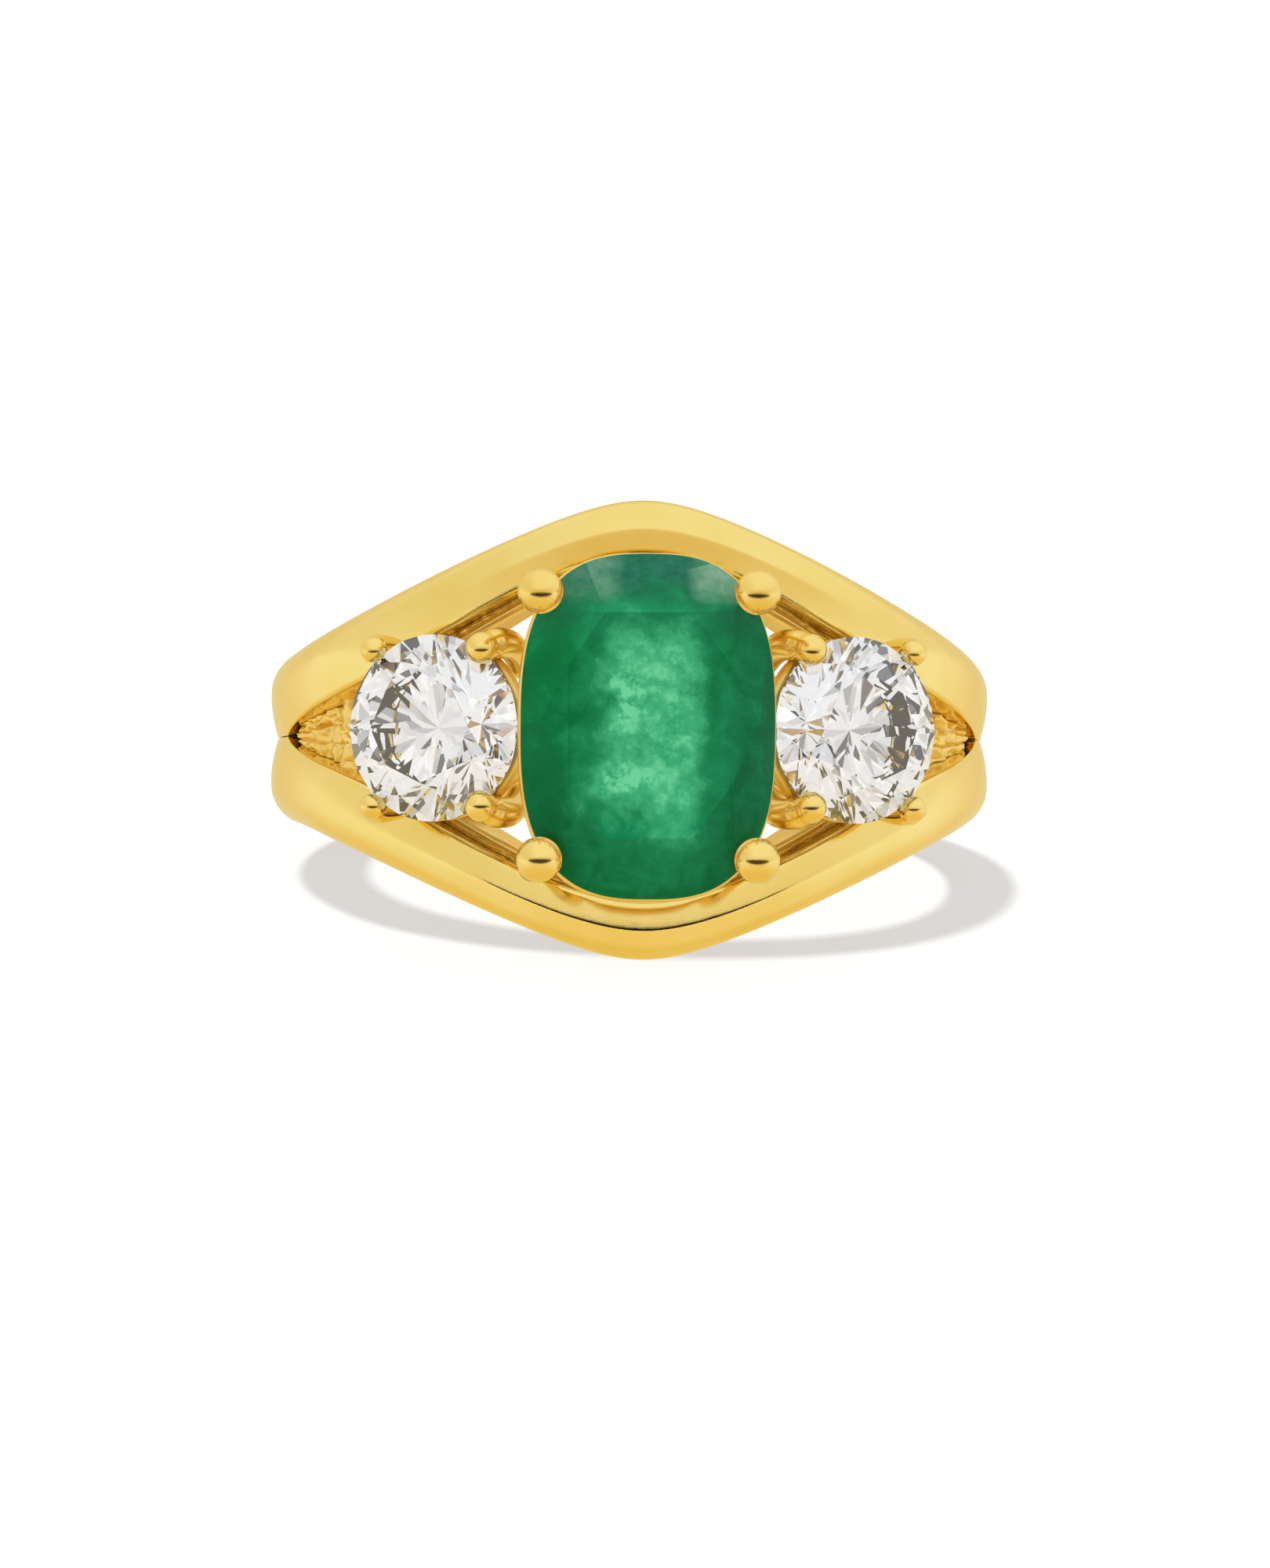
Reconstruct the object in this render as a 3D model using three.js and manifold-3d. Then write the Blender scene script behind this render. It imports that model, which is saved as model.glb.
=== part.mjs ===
// A three-stone cocktail ring in yellow gold. A cushion emerald stands between two round diamonds that lean
// outwards, and two bands bow round all three. The bands lie side by side as the shank and part at the
// shoulders. Gallery bars run inside the parted bands and carry three prong baskets.
//
// Units are millimetres. The ring is built about its finger hole, with the finger axis along Z and the
// emerald facing -Y. It is then laid down as a ring lies on a table: on the lower band's bow in front and on
// the shank behind. The finished part has +Z up and its origin under the middle of its box.

import * as THREE from "three";
import { ConvexGeometry } from "three/addons/geometries/ConvexGeometry.js";
import { mergeVertices } from "three/addons/utils/BufferGeometryUtils.js";
import Module from "manifold-3d";

const DEG = Math.PI / 180;
const CONTACT_GAP = 0.02; // between two pieces that are soldered or seated together

// Finger hole, and how far the bands stand out from the finger axis in front, at the sides and behind.
const FINGER_RADIUS = 8.675;
const BAND_RADIUS = { front: 10.75, side: 10.5, back: 10.2 };

// Outer edge of a band, measured along the finger axis. In front it is a hyperbola: straight slopes from the
// shoulders, BOW_PEAK high where they would meet, with the peak rounded off. Behind, the shank tapers.
const BOW_PEAK = 7.31;
const BOW_ROUNDING = 0.9;
const BOW_SLOPE = 0.458;
const BOW_RADIUS = 10.4;
const SHANK_TAPER = 0.55;

// Inner edge of a band: the two bands touch along the shank and part at the shoulders, over a short span.
const BAND_WIDTH = { front: 1.62, shoulder: 2.05 };
const PARTING_ANGLE = 74.5 * DEG;
const PARTING_SPAN = 14.5 * DEG;

const BAND_STATIONS = 64;

// Bars along the inside of the parted bands, and the bridges that join them. The basket bridges carry the
// side stones' baskets, and the shoulder bridges close the narrow ends of the opening.
const BAR = { low: 8.8, high: 9.9, width: 0.43, reach: 68 * DEG, stations: 24 };
const BRIDGES = {
  basket: { angle: 33 * DEG, low: 8.78, high: 9.48, width: 1.2 },
  shoulder: { angle: 59 * DEG, low: 8.78, high: 9.75, width: 1.1 },
};

// Stones. A height is the girdle's distance from the finger axis.
const EMERALD_SIZE = { width: 7.0, length: 9.5, squareness: 2.75, height: 13.1 };
const DIAMOND_SIZE = { radius: 2.6, height: 12.3, angle: 28.5 * DEG };

// Baskets, measured from the middle of the stone's girdle. A gallery ring runs from low to high and from
// inside to outside: beyond the emerald's outline, beyond the oval's, or from the diamond's axis.
const CENTRE_RINGS = {
  upper: { inside: -0.19, outside: 0.07, low: -0.92, high: -0.42, steps: 32 },
  lower: { inside: -0.22, outside: 0.22, low: -3.8, high: -3.3, steps: 28 },
  lowerOval: { x: 2.2, y: 4.04 },
};
const SIDE_RINGS = {
  upper: { inside: 2.2, outside: 2.56, low: -0.95, high: -0.46, steps: 24 },
  lower: { inside: 1.38, outside: 1.84, low: -2.79, high: -2.3, steps: 20 },
};

// Prongs. Foot, elbow, neck and tip are each [distance from the stone's axis, height above its girdle].
const CENTRE_PRONG = {
  towards: { x: 2.99, y: 3.68 },
  foot: [3.5, -3.7],
  elbow: [4.98, -1.0],
  neck: [4.98, 0.35],
  tip: [4.74, 0.62],
  elbowRadius: 0.36,
  neckRadius: 0.34,
  ballRadius: 0.59,
};
const SIDE_PRONGS = {
  outer: {
    foot: [2.14, -2.78],
    elbow: [2.9, -0.98],
    neck: [2.9, 0.2],
    tip: [2.78, 0.4],
    elbowRadius: 0.27,
    neckRadius: 0.25,
    ballRadius: 0.32,
  },
  inner: {
    foot: [2.24, -2.78],
    elbow: [3.02, -0.98],
    neck: [2.95, 0.2],
    tip: [2.8, 0.43],
    elbowRadius: 0.38,
    neckRadius: 0.3,
    ballRadius: 0.38,
  },
};
const SIDE_PRONG_ANGLE = 52 * DEG;

const GOLD = new THREE.MeshStandardMaterial({ color: 0xe9c46a, roughness: 0.12, metalness: 1 });
const EMERALD = new THREE.MeshStandardMaterial({ color: 0x0b7a48, roughness: 0.05, metalness: 0 });
const DIAMOND = new THREE.MeshStandardMaterial({ color: 0xf2f4f6, roughness: 0.02, metalness: 0 });

const wasm = await Module();
wasm.setup();

// ---- Solids and meshes ----

function solidOf(geometry) {
  const bare = geometry.clone();
  bare.deleteAttribute("normal");
  bare.deleteAttribute("uv");
  const merged = mergeVertices(bare, 1e-4);
  return new wasm.Manifold(
    new wasm.Mesh({
      numProp: 3,
      vertProperties: merged.attributes.position.array,
      triVerts: new Uint32Array(merged.index.array),
    }),
  );
}

function geometryOf(solid) {
  const { vertProperties, triVerts } = solid.getMesh();
  const geometry = new THREE.BufferGeometry();
  geometry.setAttribute("position", new THREE.BufferAttribute(vertProperties, 3));
  geometry.setIndex(new THREE.BufferAttribute(triVerts, 1));
  geometry.computeVertexNormals();
  return geometry;
}

function mesh(name, geometry, material) {
  const made = new THREE.Mesh(geometry, material.clone());
  made.name = name;
  return made;
}

// Joins rows of points into a skin. A loop closes on its first row; otherwise flat caps close both ends.
function loft(rows, isLoop) {
  const across = rows[0].length;
  const positions = rows.flat().flatMap((p) => [p.x, p.y, p.z]);
  const index = [];
  const spans = isLoop ? rows.length : rows.length - 1;
  for (let i = 0; i < spans; i++) {
    const here = i * across;
    const next = ((i + 1) % rows.length) * across;
    for (let j = 0; j < across; j++) {
      const k = (j + 1) % across;
      index.push(here + j, next + j, next + k, here + j, next + k, here + k);
    }
  }
  if (!isLoop) {
    const last = (rows.length - 1) * across;
    for (let j = 1; j < across - 1; j++) {
      index.push(0, j, j + 1, last, last + j + 1, last + j);
    }
  }
  const geometry = new THREE.BufferGeometry();
  geometry.setAttribute("position", new THREE.Float32BufferAttribute(positions, 3));
  geometry.setIndex(index);
  return facingOut(geometry);
}

// Turns the faces round where their winding encloses a negative volume.
function facingOut(geometry) {
  if (solidOf(geometry).volume() < 0) {
    const index = geometry.index.array;
    for (let i = 0; i < index.length; i += 3) {
      [index[i + 1], index[i + 2]] = [index[i + 2], index[i + 1]];
    }
  }
  geometry.computeVertexNormals();
  return geometry;
}

// ---- Bands ----

const smooth = (from, to, value) => THREE.MathUtils.smoothstep(value, from, to);

// phi is an angle round the finger axis, with 0 at the emerald.
function outerEdge(phi) {
  const drop = (across) => Math.hypot(BOW_ROUNDING, BOW_SLOPE * BOW_RADIUS * across);
  if (Math.cos(phi) > 0) return BOW_PEAK - drop(Math.sin(phi));
  return BOW_PEAK - drop(1) - SHANK_TAPER * Math.cos(phi) ** 2;
}

function innerEdge(phi) {
  const fromFront = Math.abs(phi);
  const t = THREE.MathUtils.clamp((PARTING_ANGLE - fromFront) / PARTING_SPAN, 0, 1);
  const opening = Math.sqrt(1 - (1 - t) ** 2);
  const width = THREE.MathUtils.lerp(BAND_WIDTH.front, BAND_WIDTH.shoulder, smooth(0, 58 * DEG, fromFront));
  return CONTACT_GAP / 2 + opening * (outerEdge(phi) - width);
}

function outerRadius(phi) {
  const c = Math.cos(phi);
  const towards = c > 0 ? BAND_RADIUS.front : BAND_RADIUS.back;
  return BAND_RADIUS.side + (towards - BAND_RADIUS.side) * c * c;
}

function around(phi, radius, z) {
  return new THREE.Vector3(radius * Math.sin(phi), -radius * Math.cos(phi), z);
}

// Section of a band: flat on the finger, with elliptical corners and a slight dome outside. Where the bands
// touch, the corner at the seam is tight, so that they read as two bands with a fine groove between them.
function bandSection(phi) {
  const parted = 1 - smooth(50 * DEG, 74 * DEG, Math.abs(phi));
  const inner = innerEdge(phi);
  const width = outerEdge(phi) - inner;
  const height = outerRadius(phi) - FINGER_RADIUS;
  const dome = 0.1;
  const corners = [
    { x: 0, y: 0, rx: 0.12, ry: 0.12, turn: 180, steps: 1 },
    { x: width, y: 0, rx: 0.2, ry: 0.2, turn: 270, steps: 2 },
    { x: width, y: height - dome, rx: 1.05 - 0.3 * parted, ry: 0.72, turn: 0, steps: 3 },
    { x: 0, y: height - dome, rx: 0.16 + 0.5 * parted, ry: 0.16 + 0.5 * parted, turn: 90, steps: 3 },
  ];
  return corners.flatMap(({ x, y, rx, ry, turn, steps }) => {
    const centre = { x: x === 0 ? rx : x - rx, y: y === 0 ? ry : y - ry };
    return Array.from({ length: steps + 1 }, (_, i) => {
      const angle = (turn + (90 * i) / steps) * DEG;
      const across = centre.x + rx * Math.cos(angle);
      const up = centre.y + ry * Math.sin(angle);
      const bulge = dome * (1 - ((2 * across) / width - 1) ** 2) * (up / height);
      return { z: inner + across, radius: FINGER_RADIUS + up + bulge };
    });
  });
}

function band(side) {
  const rows = Array.from({ length: BAND_STATIONS }, (_, i) => {
    const phi = -Math.PI + (2 * Math.PI * i) / BAND_STATIONS;
    return bandSection(phi).map(({ z, radius }) => around(phi, radius, side * z));
  });
  return loft(rows, true);
}

// ---- Gallery bars and bridges ----

function galleryBar(side) {
  const rows = Array.from({ length: BAR.stations + 1 }, (_, i) => {
    const phi = BAR.reach * ((2 * i) / BAR.stations - 1);
    const high = innerEdge(phi) - CONTACT_GAP;
    const low = high - BAR.width;
    const bevel = 0.12;
    return [
      around(phi, BAR.low, side * low),
      around(phi, BAR.low, side * high),
      around(phi, BAR.high, side * high),
      around(phi, BAR.high, side * (low + bevel)),
      around(phi, BAR.high - bevel, side * low),
    ];
  });
  return loft(rows, false);
}

// A strap on the finger side, from one bar to the other.
function bridge(side, { angle, low, high, width }) {
  const halfWidth = width / 2 / low;
  const rows = [-1, -1 / 3, 1 / 3, 1].map((k) => {
    const phi = side * (angle + k * halfWidth);
    const reach = innerEdge(phi) - BAR.width - 2.5 * CONTACT_GAP;
    return [
      around(phi, low, -reach),
      around(phi, low, reach),
      around(phi, high, reach),
      around(phi, high, -reach),
    ];
  });
  return loft(rows, false);
}

// ---- Cut stones, each with its girdle on the local XY plane and its table up ----

const onEllipse = (turns, x, y) =>
  new THREE.Vector2(x * Math.cos(2 * Math.PI * turns), y * Math.sin(2 * Math.PI * turns));

// The height at (x, y) of the plane through three points.
function planeHeight(a, b, c, x, y) {
  const plane = new THREE.Plane().setFromCoplanarPoints(a, b, c);
  return -(plane.normal.x * x + plane.normal.y * y + plane.constant) / plane.normal.z;
}

// A brilliant cut on any outline: a table with eight corners, stars, kites and sixteen upper and sixteen
// lower girdle facets. outline(t) gives the girdle at parameter t in turns.
function brilliantCut(outline, cut) {
  const at = (turns, scale, z) => {
    const p = outline(turns);
    return new THREE.Vector3(p.x * scale, p.y * scale, z);
  };
  const half = cut.girdle / 2;
  const points = [];
  for (let k = 0; k < 8; k++) {
    points.push(at(k / 8, cut.table, half + cut.crown));
    points.push(at((k + 0.5) / 8, cut.star, half + cut.starHeight));
    points.push(at((k + 0.5) / 8, cut.lower, -half - cut.lowerDepth));
  }
  points.push(...cut.culet.map((y) => new THREE.Vector3(0, y, -half - cut.pavilion)));
  const sixteenth = 1 / 16;
  for (let i = 0; i < cut.girdleSteps; i++) {
    const turns = i / cut.girdleSteps;
    const facet = Math.floor(turns / sixteenth);
    const tip = (2 * Math.floor(facet / 2) + 1) * sixteenth;
    const [from, to] = [facet * sixteenth, (facet + 1) * sixteenth];
    const p = outline(turns);
    const sides = [
      [half, cut.star, half + cut.starHeight],
      [-half, cut.lower, -half - cut.lowerDepth],
    ];
    for (const [edge, scale, z] of sides) {
      const height = planeHeight(at(from, 1, edge), at(to, 1, edge), at(tip, scale, z), p.x, p.y);
      points.push(new THREE.Vector3(p.x, p.y, height));
    }
  }
  return new ConvexGeometry(points);
}

function diamondGeometry() {
  const r = DIAMOND_SIZE.radius;
  const [crownSlope, pavilionSlope] = [Math.tan(34.5 * DEG), Math.tan(40.75 * DEG)];
  const [table, lower] = [0.57, 0.23];
  const tableEdge = table * Math.cos(22.5 * DEG);
  const star = tableEdge + 0.5 * (1 - tableEdge);
  return brilliantCut(
    (turns) => onEllipse(turns, r, r),
    {
      table,
      star,
      lower,
      girdle: 0.15,
      crown: (1 - table) * r * crownSlope,
      starHeight: (1 - star * Math.cos(22.5 * DEG)) * r * crownSlope,
      pavilion: r * pavilionSlope,
      lowerDepth: (1 - lower * Math.cos(22.5 * DEG)) * r * pavilionSlope,
      culet: [0],
      girdleSteps: 32,
    },
  );
}

// A superellipse: the emerald's girdle when grow is 0, and a line that far outside it otherwise.
function cushion(turns, grow = 0) {
  const [c, s] = [Math.cos(2 * Math.PI * turns), Math.sin(2 * Math.PI * turns)];
  const power = 2 / EMERALD_SIZE.squareness;
  return new THREE.Vector2(
    (EMERALD_SIZE.width / 2 + grow) * Math.sign(c) * Math.abs(c) ** power,
    (EMERALD_SIZE.length / 2 + grow) * Math.sign(s) * Math.abs(s) ** power,
  );
}

function emeraldGeometry() {
  return brilliantCut(cushion, {
    table: 0.68,
    star: 0.86,
    lower: 0.55,
    girdle: 0.24,
    crown: 0.95,
    starHeight: 0.52,
    pavilion: 2.95,
    lowerDepth: 1.75,
    culet: [-1.2, 1.2],
    girdleSteps: 48,
  });
}

// ---- Baskets ----

// A closed ring of rectangular wire along outline(turns, grow), between two heights.
function galleryRing(outline, { inside, outside, low, high, steps }) {
  const rows = Array.from({ length: steps }, (_, i) => {
    const turns = i / steps;
    const [a, b] = [outline(turns, inside), outline(turns, outside)];
    return [
      new THREE.Vector3(a.x, a.y, low),
      new THREE.Vector3(b.x, b.y, low),
      new THREE.Vector3(b.x, b.y, high),
      new THREE.Vector3(a.x, a.y, high),
    ];
  });
  return loft(rows, true);
}

function rod(from, to, fromRadius, toRadius, sides) {
  const along = to.clone().sub(from);
  const yAxis = new THREE.Vector3(0, 1, 0);
  const turn = new THREE.Quaternion().setFromUnitVectors(yAxis, along.clone().normalize());
  const middle = from.clone().add(to).multiplyScalar(0.5);
  return new THREE.CylinderGeometry(toRadius, fromRadius, along.length(), sides)
    .applyQuaternion(turn)
    .translate(middle.x, middle.y, middle.z);
}

function ball(centre, radius, sides, rows) {
  return new THREE.SphereGeometry(radius, sides, rows).translate(centre.x, centre.y, centre.z);
}

// A prong in a plane through its stone's axis: a wire from the foot out to the elbow, up past the girdle to
// the neck, and a ball that leans in over the crown.
function prong(direction, { foot, elbow, neck, tip, elbowRadius, neckRadius, ballRadius }) {
  const unit = direction.normalize();
  const at = ([distance, height]) => new THREE.Vector3(unit.x * distance, unit.y * distance, height);
  const sides = 8;
  const parts = [
    rod(at(foot), at(elbow), elbowRadius, elbowRadius, sides),
    ball(at(elbow), elbowRadius, sides, 5),
    rod(at(elbow), at(neck), elbowRadius, neckRadius, sides),
    ball(at(tip), ballRadius, 10, 7),
  ];
  return geometryOf(parts.map(solidOf).reduce((all, one) => all.add(one)));
}

// A group whose local Z points away from the finger, at an angle round it, with its local Y along the finger
// axis.
function settingAt(angle, height) {
  const group = new THREE.Group();
  const outwards = around(angle, 1, 0);
  const axial = new THREE.Vector3(0, 0, 1);
  const sideways = new THREE.Vector3().crossVectors(axial, outwards);
  group.setRotationFromMatrix(new THREE.Matrix4().makeBasis(sideways, axial, outwards));
  group.position.copy(outwards.multiplyScalar(height));
  return group;
}

function centreSetting() {
  const setting = settingAt(0, EMERALD_SIZE.height);
  const { upper, lower, lowerOval } = CENTRE_RINGS;
  const oval = (turns, grow) => onEllipse(turns, lowerOval.x + grow, lowerOval.y + grow);
  setting.add(
    mesh("center_emerald", emeraldGeometry(), EMERALD),
    mesh("center_gallery_upper", galleryRing(cushion, upper), GOLD),
    mesh("center_gallery_lower", galleryRing(oval, lower), GOLD),
  );
  for (const [across, x] of [["left", -1], ["right", 1]]) {
    for (const [height, y] of [["upper", 1], ["lower", -1]]) {
      const direction = new THREE.Vector2(x * CENTRE_PRONG.towards.x, y * CENTRE_PRONG.towards.y);
      setting.add(mesh(`center_prong_${height}_${across}`, prong(direction, CENTRE_PRONG), GOLD));
    }
  }
  return setting;
}

function sideSetting(name, side) {
  const setting = settingAt(side * DIAMOND_SIZE.angle, DIAMOND_SIZE.height);
  const circle = (turns, radius) => onEllipse(turns, radius, radius);
  setting.add(
    mesh(`${name}_diamond`, diamondGeometry(), DIAMOND),
    mesh(`${name}_gallery_upper`, galleryRing(circle, SIDE_RINGS.upper), GOLD),
    mesh(`${name}_gallery_lower`, galleryRing(circle, SIDE_RINGS.lower), GOLD),
  );
  for (const [place, x] of [["outer", side], ["inner", -side]]) {
    for (const [height, y] of [["upper", 1], ["lower", -1]]) {
      const direction = new THREE.Vector2(x * Math.cos(SIDE_PRONG_ANGLE), y * Math.sin(SIDE_PRONG_ANGLE));
      setting.add(mesh(`${name}_prong_${place}_${height}`, prong(direction, SIDE_PRONGS[place]), GOLD));
    }
  }
  return setting;
}

// ---- The ring, laid down ----

function buildRing() {
  const ring = new THREE.Group();
  ring.add(
    mesh("band_upper", band(1), GOLD),
    mesh("band_lower", band(-1), GOLD),
    mesh("gallery_bar_upper", galleryBar(1), GOLD),
    mesh("gallery_bar_lower", galleryBar(-1), GOLD),
    mesh("left_basket_bridge", bridge(-1, BRIDGES.basket), GOLD),
    mesh("right_basket_bridge", bridge(1, BRIDGES.basket), GOLD),
    mesh("left_shoulder_bridge", bridge(-1, BRIDGES.shoulder), GOLD),
    mesh("right_shoulder_bridge", bridge(1, BRIDGES.shoulder), GOLD),
    centreSetting(),
    sideSetting("left", -1),
    sideSetting("right", 1),
  );
  return ring;
}

// The tilt about X that brings the lower band's bow and the back of its shank to one level. The lowest
// points shift a little as the band tilts, so the tilt is settled in a few rounds.
function restingTilt(bandMesh) {
  const positions = bandMesh.geometry.attributes.position;
  const rounds = 6;
  let tilt = 0;
  for (let i = 0; i < rounds; i++) tilt -= slopeUnder(positions, tilt);
  return tilt;
}

// The slope of the line under the band, from its lowest point in front to its lowest point behind.
function slopeUnder(positions, tilt) {
  const xAxis = new THREE.Vector3(1, 0, 0);
  const turned = new THREE.Vector3();
  const lowest = {};
  for (let i = 0; i < positions.count; i++) {
    turned.fromBufferAttribute(positions, i).applyAxisAngle(xAxis, tilt);
    const half = turned.y < 0 ? "front" : "back";
    if (!lowest[half] || turned.z < lowest[half].z) lowest[half] = turned.clone();
  }
  const { front, back } = lowest;
  return Math.atan2(back.z - front.z, back.y - front.y);
}

const ring = buildRing();
ring.rotation.x = restingTilt(ring.getObjectByName("band_lower"));
const box = new THREE.Box3().setFromObject(ring, true);
const middle = box.getCenter(new THREE.Vector3());
ring.position.set(-middle.x, -middle.y, -box.min.z);

const part = new THREE.Group();
part.add(ring);

export default part;
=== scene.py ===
"""A three-stone cocktail ring: a cushion emerald between two round diamonds, in two bands of yellow gold.

Shapes are worked out in millimetres, about the finger hole (finger axis along Z, the emerald facing -Y) or
about the middle of a stone's girdle (table along Z). add_piece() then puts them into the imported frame, in
metres. Angles round the finger are in degrees, with 0 at the emerald.
"""

from math import cos, degrees, hypot, pi, radians, sin, sqrt, tan

import bmesh
import bpy
from mathutils import Matrix, Vector, noise


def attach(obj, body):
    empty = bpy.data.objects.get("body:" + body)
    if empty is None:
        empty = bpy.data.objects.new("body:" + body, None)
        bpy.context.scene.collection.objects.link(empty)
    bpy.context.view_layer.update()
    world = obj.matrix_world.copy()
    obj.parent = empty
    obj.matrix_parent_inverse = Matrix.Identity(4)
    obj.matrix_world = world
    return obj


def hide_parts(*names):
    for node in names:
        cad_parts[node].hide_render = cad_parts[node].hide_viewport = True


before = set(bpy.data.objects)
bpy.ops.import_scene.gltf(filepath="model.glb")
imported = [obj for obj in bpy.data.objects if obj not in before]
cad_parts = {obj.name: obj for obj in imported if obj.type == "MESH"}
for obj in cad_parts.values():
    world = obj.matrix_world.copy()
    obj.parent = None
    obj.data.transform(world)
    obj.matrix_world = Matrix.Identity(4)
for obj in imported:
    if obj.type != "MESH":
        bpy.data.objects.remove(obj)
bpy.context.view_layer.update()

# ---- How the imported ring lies: leaning back, on the lower band's bow and the back of the shank ----

MM = 0.001
TILT = radians(-13.8403)
RING_CENTRE = Vector((0, 2.3258, 4.1008)) * MM
RING = Matrix.Translation(RING_CENTRE) @ Matrix.Rotation(TILT, 4, "X") @ Matrix.Scale(MM, 4)

# ---- Bands ----

CONTACT_GAP = 0.02
FINGER_RADIUS = 8.675
BAND_RADIUS = {"front": 10.75, "side": 10.5, "back": 10.2}
BOW_PEAK = 7.31
BOW_ROUNDING = 0.9
BOW_SLOPE = 0.458
BOW_RADIUS = 10.4
SHANK_TAPER = 0.55
BAND_WIDTH = {"front": 1.62, "shoulder": 2.22}
BAND_WIDENS = (10, 52)
PARTING_ANGLE = 76
PARTING_SPAN = 16
BAND_STATIONS = 480

# A band's section: how soft its crest is, how steeply its outer side falls, how far its two halves bulge,
# and its two upper corners. The bow's outer side is steep, and the shank is one low dome.
SHANK_SECTION = {
    "softness": 0.6,
    "outer_slope": 0.06,
    "outer_dome": 0.2,
    "inner_dome": 0.16,
    "outer_corner": 1.0,
    "outer_corner_depth": 0.66,
    "inner_corner": 0.05,
}
SHOULDER_SECTION = SHANK_SECTION | {
    "inner_dome": 0.02,
    "outer_corner": 0.8,
    "outer_corner_depth": 0.6,
    "inner_corner": 0.15,
}
BOW_SECTION = SHOULDER_SECTION | {
    "softness": 0.03,
    "outer_slope": 0.3,
    "outer_dome": 0.03,
    "outer_corner": 0.4,
    "outer_corner_depth": 0.36,
}
BOW_ENDS = (18, 58)
SHOULDER_ENDS = (50, 78)
INNER_SLOPE = 0.06
FINGER_CORNER = 0.15
CORNER_FROM_CREST = 0.08

# ---- Gallery bars and bridges ----

BAR = {"low": 8.8, "high": 10.25, "width": 0.43, "reach": 73, "stations": 520}
BAR_DIPS = {"from": 42, "to": 58, "by": 0.4}
BAR_RISES = {"from": 60, "to": 72, "by": 0.35}
STRIP = {"below_arm": 0.07, "dome": 0.08, "edge": 0.1}
GROOVE = {"width": 0.02, "depth": 0.2}
ARM_RADIUS = {"front": 0.16, "side": 0.08}
ARM_NARROWS = (10, 34)
CHISEL_DEPTH = {"strip": 0.2, "shoulder": 0.42}
SHOULDER_CHISELLED = (46, 56)
SHOULDER_FILLED = (52, 60)
FILL_OVERLAP = 0.06
BRIDGES = {
    "basket": {"angle": 33, "low": 8.78, "high": 9.48, "width": 1.2, "rough": 0.05},
    "shoulder": {"angle": 59, "low": 8.78, "high": 9.75, "width": 1.1, "rough": 0.28},
}
BRIDGE_INTO_BAND = 0.1
BRIDGE_FLARE = 0.16

# ---- Stones. A height is the girdle's distance from the finger axis ----

EMERALD = {"width": 7.0, "length": 9.5, "squareness": 2.75, "height": 13.1}
DIAMOND = {"radius": 2.6, "height": 12.3, "angle": 28.5}
UNEVEN_SCALE = 1.7
UNEVEN_TURN = 0.08

# ---- Baskets, measured from the stone's axis or its outline, and from its girdle ----

CENTRE_RINGS = {
    "upper": {"inside": -0.19, "outside": 0.07, "low": -0.92, "high": -0.42},
    "lower": {"inside": -0.22, "outside": 0.22, "low": -3.8, "high": -3.3},
}
LOWER_OVAL = (2.2, 4.04)
SIDE_RINGS = {
    "upper": {"inside": 2.2, "outside": 2.56, "low": -0.95, "high": -0.46},
    "lower": {"inside": 1.38, "outside": 1.84, "low": -2.79, "high": -2.3},
}
WIRE_SQUARENESS = 0.6

# A prong's path is (distance from the stone's axis, height above its girdle), from the foot to the ball.
CENTRE_PRONG = {
    "path": [(3.5, -3.7), (4.98, -1.0), (4.98, 0.35), (4.74, 0.62)],
    "radii": [0.36, 0.38, 0.36, 0.34],
    "ball": 0.63,
}
CENTRE_PRONG_TOWARDS = (2.99, 3.68)
SIDE_PRONGS = {
    "outer": {
        "path": [(2.14, -2.78), (2.9, -0.98), (2.95, 0.1), (2.76, 0.4)],
        "radii": [0.27, 0.32, 0.32, 0.3],
        "ball": 0.35,
    },
    "inner": {
        "path": [(2.24, -2.78), (2.98, -1.2), (2.98, -0.1), (2.76, 0.43)],
        "radii": [0.36, 0.42, 0.44, 0.4],
        "ball": 0.43,
    },
}
SIDE_PRONG_ANGLE = 52
BALL_STEPS = 18
BALL_BLEND = 0.12

SIDES = {"left": -1, "right": 1}
HEIGHTS = {"upper": 1, "lower": -1}


# ---- Numbers ----


def clamp(value):
    return max(0.0, min(1.0, value))


def lerp(a, b, t):
    return a + (b - a) * t


def smoothstep(low, high, value):
    t = clamp((value - low) / (high - low))
    return t * t * (3 - 2 * t)


def smooth_max(a, b, width):
    overlap = max(width - abs(a - b), 0) / width
    return max(a, b) + overlap * overlap * width / 4


def signed_power(value, power):
    return abs(value) ** power * (1 if value > 0 else -1)


def rough(point, scale):
    """A smooth noise from -1 to 1, the same each run."""
    return noise.noise(Vector(point) * scale)


def dents(point, scale, fine_scale, fine_share):
    """How deep hammer marks are at a point, as a share of their full depth."""
    return abs(rough(point, scale)) + fine_share * rough(point, fine_scale)


# ---- Meshes ----


def tube(rows, is_loop):
    """Points and faces of a skin over rows of points. A loop closes on its first row. Others are capped."""
    across = len(rows[0])
    points = [p for row in rows for p in row]
    faces = []
    for i in range(len(rows) if is_loop else len(rows) - 1):
        here = i * across
        following = (i + 1) % len(rows) * across
        for j in range(across):
            k = (j + 1) % across
            faces.append((here + j, following + j, following + k, here + k))
    if not is_loop:
        for start in (0, (len(rows) - 1) * across):
            middle = sum((Vector(p) for p in points[start : start + across]), Vector()) / across
            hub = len(points)
            points.append(tuple(middle))
            for j in range(across):
                faces.append((start + j, start + (j + 1) % across, hub))
    return points, faces


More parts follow.
